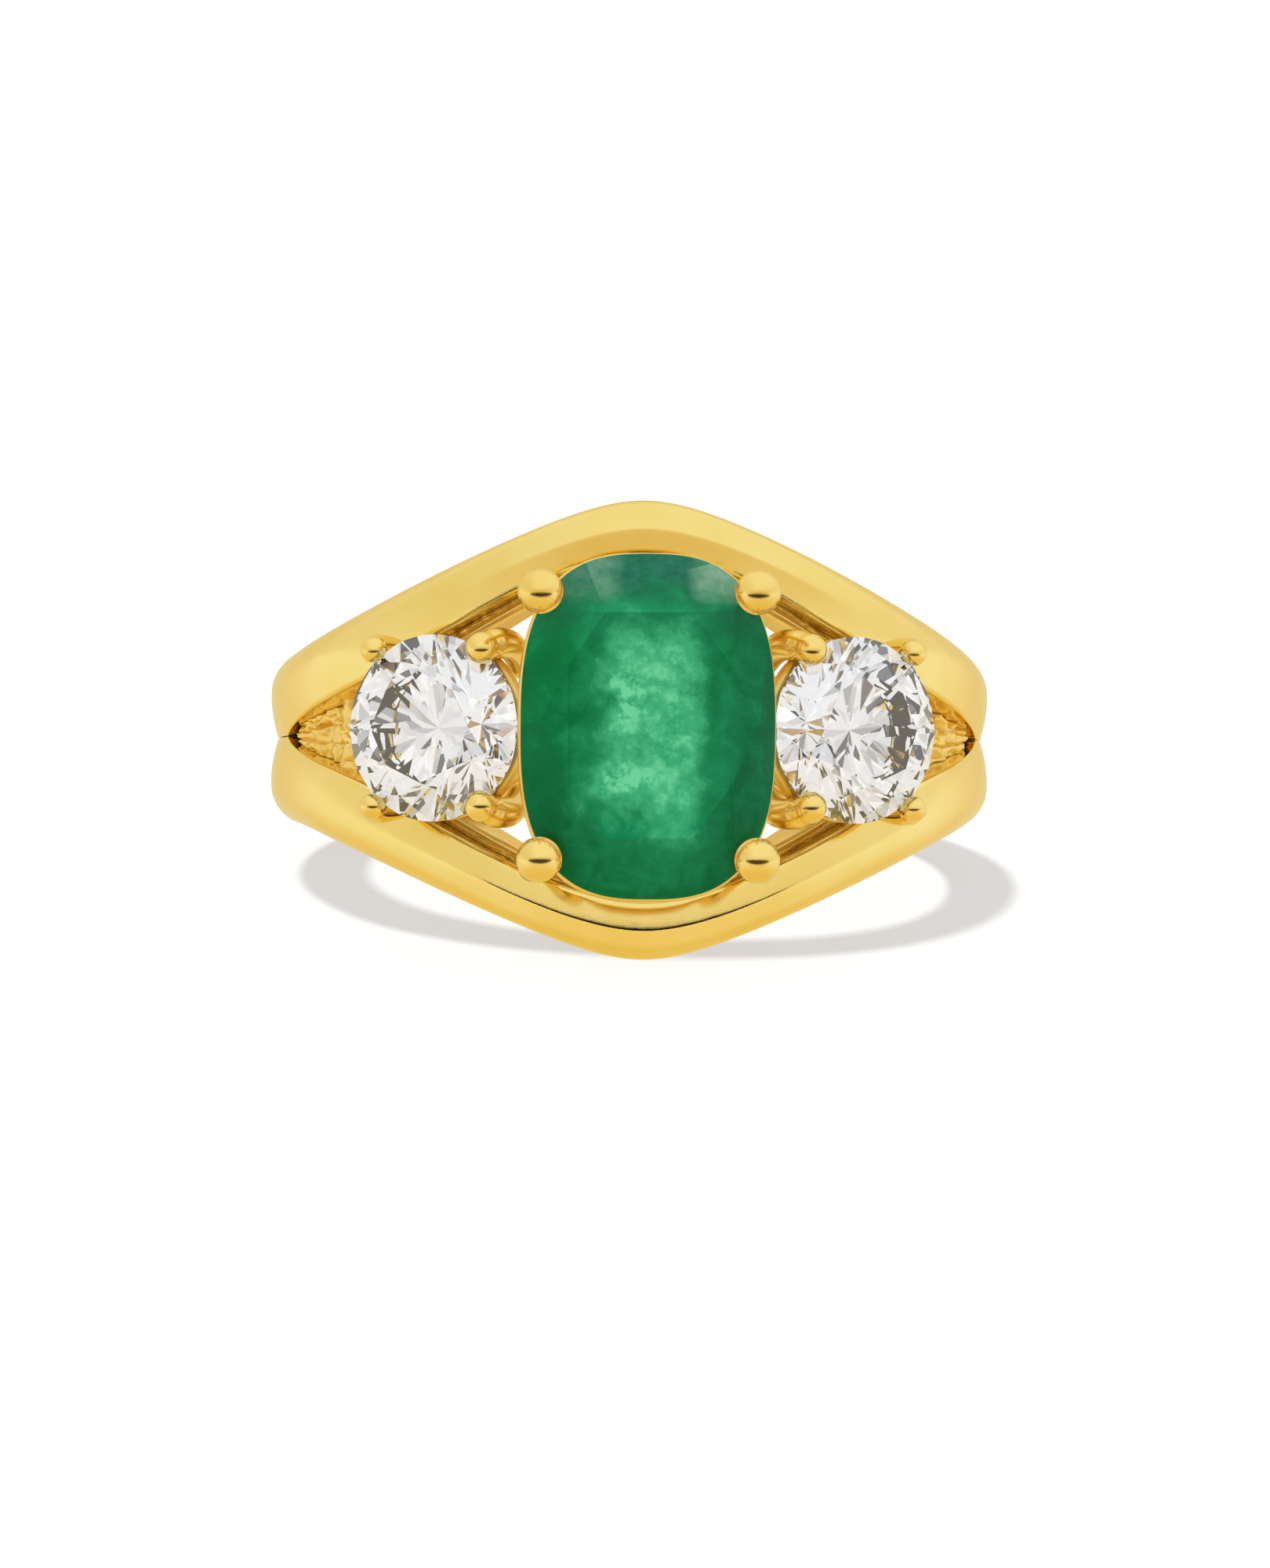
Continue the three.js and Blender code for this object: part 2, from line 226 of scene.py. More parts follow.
def add_piece(node, points, faces, matrix, slot, is_smooth=True):
    """The finished piece for a CAD node. Each point keeps its place in millimetres, for the material."""
    name = node + "_finished"
    mesh = bpy.data.meshes.new(name)
    mesh.from_pydata([tuple(p) for p in points], [], faces)
    place = mesh.attributes.new("place", "FLOAT_VECTOR", "POINT")
    for spot, p in zip(place.data, points):
        spot.vector = p
    mesh.transform(matrix)
    outward = bmesh.new()
    outward.from_mesh(mesh)
    bmesh.ops.recalc_face_normals(outward, faces=outward.faces)
    outward.to_mesh(mesh)
    outward.free()
    for polygon in mesh.polygons:
        polygon.use_smooth = is_smooth
    mesh.materials.append(MATERIALS[slot])
    piece = bpy.data.objects.new(name, mesh)
    bpy.context.collection.objects.link(piece)
    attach(piece, "root")
    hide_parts(node)
    return piece


# ---- Bands ----


def around(phi, radius, z):
    """A point at an angle and a radius round the finger axis."""
    return (radius * sin(radians(phi)), -radius * cos(radians(phi)), z)


def outer_edge(phi):
    """A band's outer edge along the finger axis: a rounded peak in front, and a tapering shank behind."""
    across, behind = abs(sin(radians(phi))), -cos(radians(phi))
    if behind < 0:
        return BOW_PEAK - hypot(BOW_ROUNDING, BOW_SLOPE * BOW_RADIUS * across)
    return BOW_PEAK - hypot(BOW_ROUNDING, BOW_SLOPE * BOW_RADIUS) - SHANK_TAPER * behind**2


def inner_edge(phi):
    """A band's inner edge along the finger axis. It leaves the other band's in a round curve."""
    t = clamp((PARTING_ANGLE - abs(phi)) / PARTING_SPAN)
    opening = sqrt(1 - (1 - t) ** 2)
    width = lerp(BAND_WIDTH["front"], BAND_WIDTH["shoulder"], smoothstep(*BAND_WIDENS, abs(phi)))
    return CONTACT_GAP / 2 + opening * (outer_edge(phi) - width)


def outer_radius(phi):
    c = cos(radians(phi))
    towards = BAND_RADIUS["front"] if c > 0 else BAND_RADIUS["back"]
    return BAND_RADIUS["side"] + (towards - BAND_RADIUS["side"]) * c * c


def section_shape(phi):
    parted = 1 - smoothstep(*SHOULDER_ENDS, abs(phi))
    bowed = 1 - smoothstep(*BOW_ENDS, abs(phi))
    shape = {}
    for key, shank in SHANK_SECTION.items():
        shape[key] = lerp(lerp(shank, SHOULDER_SECTION[key], parted), BOW_SECTION[key], bowed)
    return shape


def band_section(phi):
    """Points (z, radius) round a band's section: along the finger, up outside, over the crest and down."""
    shape = section_shape(phi)
    inner = inner_edge(phi)
    width = outer_edge(phi) - inner
    crest = width / 2
    outer_corner = min(shape["outer_corner"], crest - CORNER_FROM_CREST)
    inner_corner = shape["inner_corner"]

    def surface(x):
        """The radius at a distance from the inner edge, before the corners are rounded."""
        away = x - crest
        tilt = (shape["outer_slope"] + INNER_SLOPE) / 2
        lean = (shape["outer_slope"] - INNER_SLOPE) / 2
        dome = shape["inner_dome"] if away < 0 else shape["outer_dome"]
        peak = tilt * (hypot(away, shape["softness"]) - shape["softness"])
        return outer_radius(phi) - peak - lean * away - dome * (away / crest) ** 2

    points = []
    steps = 4
    for centre, start in ((FINGER_CORNER, 180), (width - FINGER_CORNER, 270)):
        for i in range(steps + 1):
            turn = radians(start + 90 * i / steps)
            low = FINGER_RADIUS + FINGER_CORNER * (1 + sin(turn))
            points.append((centre + FINGER_CORNER * cos(turn), low))
    steps = 9
    for i in range(steps):
        turn = radians(90 * i / steps)
        x = width - outer_corner * (1 - cos(turn))
        points.append((x, surface(x) - shape["outer_corner_depth"] * (1 - sin(turn))))
    steps = 22
    for i in range(steps + 1):
        t = 1 - 2 * i / steps
        reach = crest - (outer_corner if t > 0 else inner_corner)
        x = crest + reach * t * (0.35 + 0.65 * abs(t))  # closer together near the crest
        points.append((x, surface(x)))
    steps = 9
    for i in range(1, steps + 1):
        turn = radians(90 + 90 * i / steps)
        x = inner_corner * (1 + cos(turn))
        points.append((x, surface(x) - inner_corner * (1 - sin(turn))))
    return [(inner + x, radius) for x, radius in points]


def add_band(name, side):
    rows = []
    for i in range(BAND_STATIONS):
        phi = -180 + 360 * i / BAND_STATIONS
        rows.append([around(phi, radius, side * z) for z, radius in band_section(phi)])
    add_piece(name, *tube(rows, True), RING, "band_gold")


# ---- Gallery bars and bridges ----


def bar_section(phi):
    """Points (distance from the band, radius) of the rough as-cast strip, and of the arm beside it."""
    width, low = BAR["width"], BAR["low"]
    dip = BAR_DIPS["by"] * smoothstep(BAR_DIPS["from"], BAR_DIPS["to"], abs(phi))
    rise = BAR_RISES["by"] * smoothstep(BAR_RISES["from"], BAR_RISES["to"], abs(phi))
    high = BAR["high"] - dip + rise
    radius = lerp(ARM_RADIUS["front"], ARM_RADIUS["side"], smoothstep(*ARM_NARROWS, abs(phi)))
    strip_end = width - 2 * radius - GROOVE["width"]
    strip = [(0, low), (0, high - STRIP["edge"])]
    for i in range(1, 9):
        top = high - STRIP["below_arm"] - STRIP["dome"] * (1 - sin(pi * i / 9))
        strip.append((strip_end * i / 9, top))
    arm = [(strip_end, high - GROOVE["depth"])]
    for i in range(9):
        turn = radians(180 - 180 * i / 8)
        arm.append((width - radius + radius * cos(turn), high - radius + radius * sin(turn)))
    arm.append((width, low))
    return strip, arm


def add_bar(name, side):
    """A bar along the inside of a parted band. Its chiselled ends spread to the middle of the opening."""
    rows = []
    for i in range(BAR["stations"] + 1):
        phi = BAR["reach"] * (2 * i / BAR["stations"] - 1)
        start = inner_edge(phi) - CONTACT_GAP
        chiselled = smoothstep(*SHOULDER_CHISELLED, abs(phi))
        spread = lerp(1, (start + FILL_OVERLAP) / BAR["width"], smoothstep(*SHOULDER_FILLED, abs(phi)))
        strip, arm = bar_section(phi)
        row = []
        for section, plain_depth in ((strip, CHISEL_DEPTH["strip"]), (arm, 0)):
            depth = lerp(plain_depth, CHISEL_DEPTH["shoulder"], chiselled)
            for beside, radius in section:
                z = side * (start - beside * spread)
                chisel = depth * dents(around(phi, radius, z), 1.9, 6, 0.25)
                row.append(around(phi, max(radius - chisel, BAR["low"]), z))
        rows.append(row)
    add_piece(name, *tube(rows, False), RING, "gallery_gold")


def add_bridge(name, side, size):
    """A half-round strap across the opening, on its finger side. It flares where it meets the bands."""
    steps, span = 28, 24
    rows = []
    half_width = degrees(size["width"] / 2 / size["low"])
    for i in range(steps + 1):
        turn = pi * i / steps
        phi = side * (size["angle"] - half_width * cos(turn))
        reach = inner_edge(phi) + BRIDGE_INTO_BAND
        arch = lerp(size["low"], size["high"], 0.06 + 0.94 * sin(turn))
        row = [around(phi, size["low"], reach * (2 * j / span - 1)) for j in range(span + 1)]
        for j in range(span + 1):
            along = 1 - 2 * j / span
            z, radius = reach * along, arch + BRIDGE_FLARE * along**4
            dent = size["rough"] * sin(turn) * dents(around(phi, radius, z), 2.4, 7, 0.4)
            row.append(around(phi, radius - dent, z))
        rows.append(row)
    add_piece(name, *tube(rows, False), RING, "gallery_gold")


# ---- Cut stones, each with its girdle on the local XY plane ----


def on_ellipse(turns, x, y):
    return Vector((x * cos(2 * pi * turns), y * sin(2 * pi * turns)))


def cushion(turns, grow=0.0):
    """The emerald's girdle when grow is 0, and a line that far outside it otherwise."""
    power = 2 / EMERALD["squareness"]
    x = (EMERALD["width"] / 2 + grow) * signed_power(cos(2 * pi * turns), power)
    y = (EMERALD["length"] / 2 + grow) * signed_power(sin(2 * pi * turns), power)
    return Vector((x, y))


def height_on_plane(corners, at):
    a, b, c = corners
    normal = (b - a).cross(c - a)
    return a.z - (normal.x * (at.x - a.x) + normal.y * (at.y - a.y)) / normal.z


def brilliant_points(outline, cut):
    """Corners of a brilliant cut on any outline, given at a parameter in turns."""

    def corner(turns, scale, z):
        """A corner a little off its ideal place, as in a hand-cut stone."""
        spot = (cos(2 * pi * turns) + z, sin(2 * pi * turns), scale)
        uneven = cut["uneven"] * rough(spot, UNEVEN_SCALE)
        p = outline(turns + uneven * UNEVEN_TURN) * scale * (1 + uneven)
        return Vector((p.x, p.y, z))

    half = cut["girdle"] / 2
    star_top, lower_end = half + cut["star_height"], -half - cut["lower_depth"]
    points = []
    for k in range(8):
        points.append(corner(k / 8, cut["table"], half + cut["crown"]))
        points.append(corner((k + 0.5) / 8, cut["star"], star_top))
        points.append(corner((k + 0.5) / 8, cut["lower"], lower_end))
    points += [Vector((0, y, -half - cut["pavilion"])) for y in cut["culet"]]
    for i in range(cut["girdle_steps"]):
        turns = i / cut["girdle_steps"]
        facet = int(turns * 16)
        tip = (2 * (facet // 2) + 1) / 16
        ends = (facet / 16, (facet + 1) / 16)
        p = outline(turns)
        for edge, scale, z in ((half, cut["star"], star_top), (-half, cut["lower"], lower_end)):
            corners = [Vector((*outline(end), edge)) for end in ends] + [corner(tip, scale, z)]
            points.append(Vector((p.x, p.y, height_on_plane(corners, p))))
    return points


def add_stone(name, points, matrix, slot):
    """The convex hull of the corners. Each facet is one flat face, with a random shade set by the way it
    faces: painted facet shading for the material.
    """
    hull = bmesh.new()
    for p in points:
        hull.verts.new(p)
    made = bmesh.ops.convex_hull(hull, input=hull.verts)
    inside = made["geom_interior"] + made["geom_unused"]
    spare = {v for v in inside if isinstance(v, bmesh.types.BMVert)}
    bmesh.ops.delete(hull, geom=list(spare), context="VERTS")
    bmesh.ops.dissolve_limit(hull, angle_limit=radians(0.4), verts=hull.verts, edges=hull.edges)
    hull.verts.index_update()
    corners = [tuple(v.co) for v in hull.verts]
    faces = [[v.index for v in face.verts] for face in hull.faces]
    hull.free()
    stone = add_piece(name, corners, faces, matrix, slot, is_smooth=False)
    # A random shade for each facet, from the way it faces: painted shading of the facets.
    facet_shade = stone.data.attributes.new("facet_shade", "FLOAT", "FACE")
    for polygon in stone.data.polygons:
        facet_shade.data[polygon.index].value = rough(polygon.normal, 2.3)
    return stone


def emerald_points():
    """A deep cushion cut that ends in a keel, turned by half a facet so that its table is flat on top."""
    cut = {
        "table": 0.68,
        "star": 0.86,
        "lower": 0.55,
        "girdle": 0.24,
        "crown": 0.95,
        "star_height": 0.56,
        "pavilion": 2.95,
        "lower_depth": 1.75,
        "culet": [-1.2, 1.2],
        "girdle_steps": 144,
        "uneven": 0.05,
    }
    return brilliant_points(lambda turns: cushion(turns + 1 / 16), cut)


def diamond_points():
    """A round brilliant at the usual angles."""
    r = DIAMOND["radius"]
    crown_slope, pavilion_slope = tan(radians(34.5)), tan(radians(40.75))
    table, lower = 0.57, 0.23
    eighth = cos(radians(22.5))
    star = table * eighth + 0.5 * (1 - table * eighth)
    cut = {
        "table": table,
        "star": star,
        "lower": lower,
        "girdle": 0.15,
        "crown": (1 - table) * r * crown_slope,
        "star_height": (1 - star * eighth) * r * crown_slope,
        "pavilion": r * pavilion_slope,
        "lower_depth": (1 - lower * eighth) * r * pavilion_slope,
        "culet": [0],
        "girdle_steps": 96,
        "uneven": 0.13,
    }
    return brilliant_points(lambda turns: on_ellipse(turns, r, r), cut)


# ---- Baskets ----


def add_gallery_ring(name, outline, size, matrix):
    """A closed ring of wire with a rounded square section, along outline(turns, grow)."""
    stations, around_wire = 160, 20
    middle, half_width = (size["outside"] + size["inside"]) / 2, (size["outside"] - size["inside"]) / 2
    centre, half_height = (size["high"] + size["low"]) / 2, (size["high"] - size["low"]) / 2
    rows = []
    for i in range(stations):
        row = []
        for j in range(around_wire):
            turn = 2 * pi * j / around_wire
            p = outline(i / stations, middle + half_width * signed_power(cos(turn), WIRE_SQUARENESS))
            row.append((p.x, p.y, centre + half_height * signed_power(sin(turn), WIRE_SQUARENESS)))
        rows.append(row)
    add_piece(name, *tube(rows, True), matrix, "gallery_gold")


def cut_corners(points, rounds):
    """Rounds a path by cutting its corners, keeping its ends."""
    for _ in range(rounds):
        finer = [points[0]]
        for a, b in zip(points, points[1:]):
            finer.append(a.lerp(b, 0.25))
            finer.append(a.lerp(b, 0.75))
        points = finer + [points[-1]]
    return points


def add_prong(name, towards, size, matrix):
    """A wire in a plane through the stone's axis, swelling into a ball at its tip.

    Its path's points are (distance from the axis, height, radius).
    """
    unit = Vector(towards).normalized()
    flat = Vector((-unit.y, unit.x, 0))
    knots = [Vector((*spot, radius)) for spot, radius in zip(size["path"], size["radii"])]
    path = cut_corners(knots, 3)
    ball, tip = size["ball"], path[-1]
    ahead = (path[-1] - path[-2]).to_2d().normalized()
    path = [p for p in path if (p - tip).to_2d().length > ball * 0.96]
    for i in range(2, BALL_STEPS):
        path.append(tip - (ahead * ball * cos(pi * i / BALL_STEPS)).to_3d())
    rows, around_wire = [], 24
    for i, p in enumerate(path):
        before, after = path[max(i - 1, 0)], path[min(i + 1, len(path) - 1)]
        along = (after - before).to_2d().normalized()
        across = Vector((unit.x * along.y, unit.y * along.y, -along.x))
        from_tip = (p - tip).to_2d()
        ball_here = sqrt(max(ball * ball - from_tip.length**2, 0))
        radius = ball_here if from_tip.dot(ahead) > 0 else smooth_max(p.z, ball_here, BALL_BLEND)
        centre = Vector((unit.x * p.x, unit.y * p.x, p.y))
        row = []
        for j in range(around_wire):
            turn = 2 * pi * j / around_wire
            row.append(centre + (flat * cos(turn) + across * sin(turn)) * radius)
        rows.append(row)
    points, faces = tube(rows, False)
    end = tip.to_2d() + ahead * ball
    points[-1] = (unit.x * end.x, unit.y * end.x, end.y)
    add_piece(name, points, faces, matrix, "prong_gold")


def setting_at(angle, height):
    """Puts a stone's own axes at an angle round the finger: X sideways, Y along its axis, Z outwards."""
    outwards = Vector(around(angle, 1, 0))
    axial = Vector((0, 0, 1))
    sideways = axial.cross(outwards)
    turn = Matrix((sideways, axial, outwards)).transposed().to_4x4()
    return RING @ Matrix.Translation(outwards * height) @ turn


# ---- Materials ----


class Nodes:
    """A short way to make and join the shader nodes of a material or a world."""

    def __init__(self, owner):
        owner.use_nodes = True
        self.tree = owner.node_tree
        self.tree.nodes.clear()

    def put(self, socket, value):
        """Joins a socket to another node's output, or sets its own value."""
        if isinstance(value, bpy.types.NodeSocket):
            self.tree.links.new(value, socket)
        else:
            socket.default_value = value

    def add(self, kind, inputs=None, **settings):
        node = self.tree.nodes.new("ShaderNode" + kind)
        for name, value in settings.items():
            setattr(node, name, value)
        for name, value in (inputs or {}).items():
            self.put(node.inputs[name], value)
        return node

    def shade(self, inputs):
        """Ends a material in one Principled shader."""
        shader = self.add("BsdfPrincipled", inputs).outputs["BSDF"]
        self.add("OutputMaterial", {"Surface": shader})

    def place(self):
        """The point's own place in millimetres, about the finger hole or the middle of its stone."""
        return self.add("Attribute", attribute_name="place").outputs["Vector"]

    def parts(self, vector):
        return self.add("SeparateXYZ", {"Vector": vector}).outputs

    def math(self, operation, a, b=0.0, is_clamped=False):
        return self.add("Math", {0: a, 1: b}, operation=operation, use_clamp=is_clamped).outputs[0]

    def product(self, a, b):
        return self.math("MULTIPLY", a, b)

    def total(self, values):
        result = values[0]
        for value in values[1:]:
            result = self.math("ADD", result, value)
        return result

    def vector_math(self, operation, a, b):
        return self.add("VectorMath", {0: a, 1: b}, operation=operation).outputs[0]

    def remap(self, value, low, high, to_low, to_high):
        inputs = {"Value": value, "From Min": low, "From Max": high, "To Min": to_low, "To Max": to_high}
        return self.add("MapRange", inputs, clamp=True).outputs["Result"]

    def noise(self, vector, scale, detail, roughness=0.5, distortion=0.0):
        inputs = {"Vector": vector, "Scale": scale, "Detail": detail, "Roughness": roughness}
        return self.add("TexNoise", inputs | {"Distortion": distortion}).outputs["Fac"]

    def ramp(self, factor, stops):
        node = self.add("ValToRGB", {"Fac": factor})
        elements = node.color_ramp.elements
        while len(elements) < len(stops):
            elements.new(0.5)
        for element, (position, colour) in zip(elements, stops):
            element.position = position
            element.color = (*colour, 1)
        return node.outputs["Color"]

    def mix(self, factor, a, b):
        """Colour a where the factor is 0, and colour b where it is 1."""
        node = self.add("Mix", {"Factor": factor}, data_type="RGBA")
        for index, value in ((6, a), (7, b)):
            is_plain = isinstance(value, tuple)
            self.put(node.inputs[index], (*value, 1) if is_plain else value)
        return node.outputs[2]

    def nearness(self, vector, centre, reach, near, far):
        """1 within an oval about a centre, falling to 0 outside it."""
        away = self.vector_math("SUBTRACT", vector, (*centre, 0))
        scaled = self.vector_math("MULTIPLY", away, (1 / reach[0], 1 / reach[1], 0))
        squared = self.vector_math("MULTIPLY", scaled, scaled)
        length = self.add("VectorMath", {0: squared}, operation="LENGTH").outputs["Value"]
        return self.remap(length, near, far, 1, 0)

    def warped(self, vector, scale, amount):
        """The vector, pushed about by a noise."""
        drift = self.add("TexNoise", {"Vector": vector, "Scale": scale, "Detail": 5.0}).outputs["Color"]
        drift = self.vector_math("SUBTRACT", drift, (0.5, 0.5, 0.5))
        drift = self.add("VectorMath", {0: drift, "Scale": amount}, operation="SCALE").outputs[0]
        return self.vector_math("ADD", vector, drift)


def grey(value):
    return (value, value, value)


def gold(name, pale, deep, roughness, grain):
    """Polished yellow gold: a faint drift of colour, fine buffing lines and a soft ripple from the hand."""
    material = bpy.data.materials.new(name)
    nodes = Nodes(material)
    place = nodes.place()
    buffed = nodes.add("Mapping", {"Vector": place, "Scale": (6, 6, 60)}).outputs["Vector"]
    lines = nodes.noise(buffed, 1.0, 6, 0.6)
    specks = nodes.noise(place, 14, 3)
    scuffed, pitted = nodes.remap(lines, 0.3, 0.7, 0, 0.03), nodes.remap(specks, 0.5, 0.8, 0, 0.04)
    worn = nodes.total([scuffed, pitted, roughness])
    ripple = nodes.noise(place, 1.6, 2)
    height = nodes.total([nodes.product(ripple, 0.6), nodes.product(lines, grain)])
    bump = nodes.add("Bump", {"Height": height, "Strength": 0.25, "Distance": 0.00002}).outputs["Normal"]
    drift = nodes.noise(place, 0.45, 3)
    colour = nodes.ramp(drift, [(0.35, deep), (0.65, pale)])
    nodes.shade({"Base Color": colour, "Metallic": 1.0, "Roughness": worn, "Normal": bump})
    return material


EMERALD_GREENS = [
    (0.0, (0.0003, 0.11, 0.028)),
    (0.25, (0.001, 0.145, 0.04)),
    (0.5, (0.01, 0.23, 0.085)),
    (0.78, (0.055, 0.42, 0.19)),
    (1.0, (0.15, 0.62, 0.32)),
]
EMERALD_BLUES = [(0.3, (0.005, 0.075, 0.045)), (0.7, (0.02, 0.12, 0.08))]
# Greys of the painted reflections on the emerald's top corners.
EMERALD_SHEEN_GREYS = [(0.3, (0.1, 0.26, 0.16)), (0.7, (0.26, 0.38, 0.28))]


def emerald_cracks(nodes, place, clouds):
    """Thin lines between the cells of a warped pattern, only inside the clouds."""
    warped = nodes.warped(place, 2.0, 0.7)
    cells = nodes.add("TexVoronoi", {"Vector": warped, "Scale": 1.5}, feature="DISTANCE_TO_EDGE")
    lines = nodes.remap(cells.outputs["Distance"], 0.0, 0.045, 1, 0)
    return nodes.product(lines, nodes.remap(clouds, 0.42, 0.6, 0, 1))


def emerald_paleness(nodes, place, wandering, grains, facet):
    """From 0 at the dark edge to 1 in the pale middle: a painted glow of light coming back out of the
    middle, two painted highlights on the left, milky clouds, grains and cracks, a little paler on the
    right, and painted facet shading.
    """
    # Painted glow: light coming back out of the middle of the stone, fading to the dark edge.
    glow = nodes.nearness(wandering, (0.0, -0.3), (2.25, 4.0), 0.3, 1.35)
    core = nodes.nearness(wandering, (0.05, 0.0), (1.4, 3.0), 0.35, 1.35)
    # Two painted highlights on the left.
    low_spot = nodes.nearness(wandering, (-0.6, -1.4), (0.75, 0.5), 0.1, 1.0)
    high_spot = nodes.nearness(wandering, (-0.65, 0.7), (0.5, 1.0), 0.1, 1.0)
    painted_highlights = nodes.math("MAXIMUM", low_spot, high_spot)
    clouds = nodes.noise(place, 0.8, 8, 0.62, 0.5)
    shares = [
        nodes.product(glow, 0.36),
        nodes.product(core, nodes.remap(grains, 0.3, 0.7, 0.12, 0.42)),
        nodes.product(painted_highlights, nodes.remap(grains, 0.35, 0.65, 0.05, 0.4)),
        nodes.remap(clouds, 0.32, 0.72, 0.03, 0.35),
        nodes.product(emerald_cracks(nodes, place, clouds), 0.07),
        nodes.remap(nodes.parts(place)["X"], 1.0, 3.0, 0, 0.1),
        # Painted shading of the facets.
        nodes.product(facet, 0.1),
    ]
    return nodes.total(shares)


def emerald_blueness(nodes, wandering, paleness):
    """Where the dark green turns bluish: on the right and most of all at the top."""
    across = nodes.parts(wandering)
    right, top = nodes.remap(across["X"], 0.5, 3.5, 0, 0.25), nodes.remap(across["Y"], 2.2, 4.2, 0, 0.9)
    dark = nodes.remap(paleness, 0.2, 0.7, 1, 0)
    return nodes.math("MULTIPLY", nodes.total([right, top]), dark, is_clamped=True)


def emerald_painted_sheen(nodes, place, facet):
    """Painted grey reflections on some of the facets in the two top corners."""
    left = nodes.nearness(place, (-1.75, 4.2), (1.1, 0.9), 0.0, 1.0)
    right = nodes.nearness(place, (2.0, 4.2), (1.0, 0.9), 0.0, 1.0)
    either = nodes.math("MAXIMUM", left, right)
    return nodes.product(either, nodes.remap(facet, -0.15, 0.05, 0.15, 0.7))


def emerald_material():
    """Green beryl: dark at the edge and pale in the middle from a painted glow, with milky clouds, fine
    grains and cracks inside, painted facet shading, and painted grey reflections at the top corners.
    """
    material = bpy.data.materials.new("emerald_green")
    nodes = Nodes(material)
    place = nodes.place()
    wandering = nodes.warped(place, 1.0, 1.3)
    grains = nodes.noise(place, 3.2, 7, 0.65)
    # Painted facet shading, read from each facet.
    facet = nodes.add("Attribute", attribute_name="facet_shade").outputs["Fac"]
    paleness = emerald_paleness(nodes, place, wandering, grains, facet)
    colour = nodes.ramp(paleness, EMERALD_GREENS)
    blueness = emerald_blueness(nodes, wandering, paleness)
    colour = nodes.mix(blueness, colour, nodes.ramp(grains, EMERALD_BLUES))
    # Painted grey reflections on the top-corner facets.
    painted_sheen = emerald_painted_sheen(nodes, place, facet)
    colour = nodes.mix(painted_sheen, colour, nodes.ramp(grains, EMERALD_SHEEN_GREYS))
    nodes.shade({
        "Base Color": colour,
        "Roughness": 0.04,
        "IOR": 1.58,
        "Specular IOR Level": 0.03,
        "Transmission Weight": 0.05,
        "Subsurface Weight": 0.25,
        "Subsurface Radius": (0.2, 1.0, 0.4),
        "Subsurface Scale": 0.0004,
    })
    return material


def diamond_material():
    """Clear glassy stone with faint grey feathers."""
    material = bpy.data.materials.new("diamond_clear")
    nodes = Nodes(material)
    feathers = nodes.noise(nodes.place(), 2.2, 5, 0.7)
    colour = nodes.ramp(feathers, [(0.45, grey(0.93)), (0.62, grey(1.0))])
    nodes.shade({"Base Color": colour, "Roughness": 0.0, "IOR": 2.42, "Transmission Weight": 1.0})
    return material


# ---- Stage, in metres ----

FLOOR_HALF = 1.2
DARK_STRIP = {"radius": 0.042, "height": 0.013, "half_angle": 46, "steps": 48}
FLAG_DISTANCE = 0.3
# Each flag's turn to the right of the front, lift above the floor, width and height, in degrees.
FLAGS = [
    (-25, 35, 22, 10),
    (30, 48, 20, 12),
    (-70, 55, 18, 20),
    (75, 30, 20, 12),
    (5, 72, 26, 14),
    (-4, 14, 16, 12),
    (-48, 12, 12, 14),
    (44, 16, 14, 16),
    (14, 30, 8, 14),
    (-10, 56, 10, 8),
]
# What gold mirrors of the room, by direction.
ROOM = {
    "horizon": (0.8, 0.6, 0.3),
    "front": (0.82, 0.65, 0.38),
    "left": (0.88, 0.82, 0.66),
    "below": (1.02, 0.86, 0.62),
    "below_sides": grey(1.03),
    "far_below": (0.9, 0.72, 0.34),
    "behind": (0.82, 0.7, 0.38),
}
LAMP = {"energy": 4.3, "angle": 5, "tilt": (-4, -9.5)}
CAMERA = {"azimuth": -2.3, "elevation": 12.14, "roll": 0.8, "distance": 0.2}
CAMERA_SHIFT = (0.00375, -0.02775)
PICTURE_HEIGHT = 0.04608
SENSOR = 36.0


def stage_material(name, colour, glow=0.0):
    """A matt colour. The glow is white light that it gives off as well."""
    material = bpy.data.materials.new(name)
    inputs = {"Base Color": (*colour, 1), "Roughness": 1.0, "Specular IOR Level": 0.0}
    Nodes(material).shade(inputs | {"Emission Color": (1, 1, 1, 1), "Emission Strength": glow})
    return material


def add_stage(name, points, faces, material):
    mesh = bpy.data.meshes.new(name)
    mesh.from_pydata(points, [], faces)
    mesh.materials.append(material)
    thing = bpy.data.objects.new(name, mesh)
    bpy.context.collection.objects.link(thing)
    return thing


def add_floor():
    """A white floor. Gold mirrors the lower half of the world instead of it."""
    corners = [(FLOOR_HALF * x, FLOOR_HALF * y, 0) for x, y in ((-1, -1), (1, -1), (1, 1), (-1, 1))]
    floor = add_stage("floor", corners, [(0, 1, 2, 3)], stage_material("floor_white", grey(0.25), 0.55))
    floor.visible_glossy = False


def hide_from_all_but_reflections(thing):
    thing.visible_camera = False
    thing.visible_diffuse = False
    thing.visible_shadow = False
    thing.visible_volume_scatter = False


def add_dark_strip():
    """A low dark strip round the front of the set, narrowing to its ends. Only mirrored light shows it."""
    radius, height, steps = DARK_STRIP["radius"], DARK_STRIP["height"], DARK_STRIP["steps"]
    points = []
    for i in range(steps + 1):
        turn = radians(DARK_STRIP["half_angle"] * (2 * i / steps - 1))
        x, y = radius * sin(turn), -radius * cos(turn)
        taper = max(cos(turn * 1.9), 0.02) ** 0.6
        points += [(x, y, height * (1 - taper) / 2), (x, y, height * (1 + taper) / 2)]
    faces = [(2 * i, 2 * i + 2, 2 * i + 3, 2 * i + 1) for i in range(steps)]
    strip = add_stage("dark_strip", points, faces, stage_material("strip_black", (0.016, 0.012, 0.008)))
    hide_from_all_but_reflections(strip)
    strip.visible_transmission = False


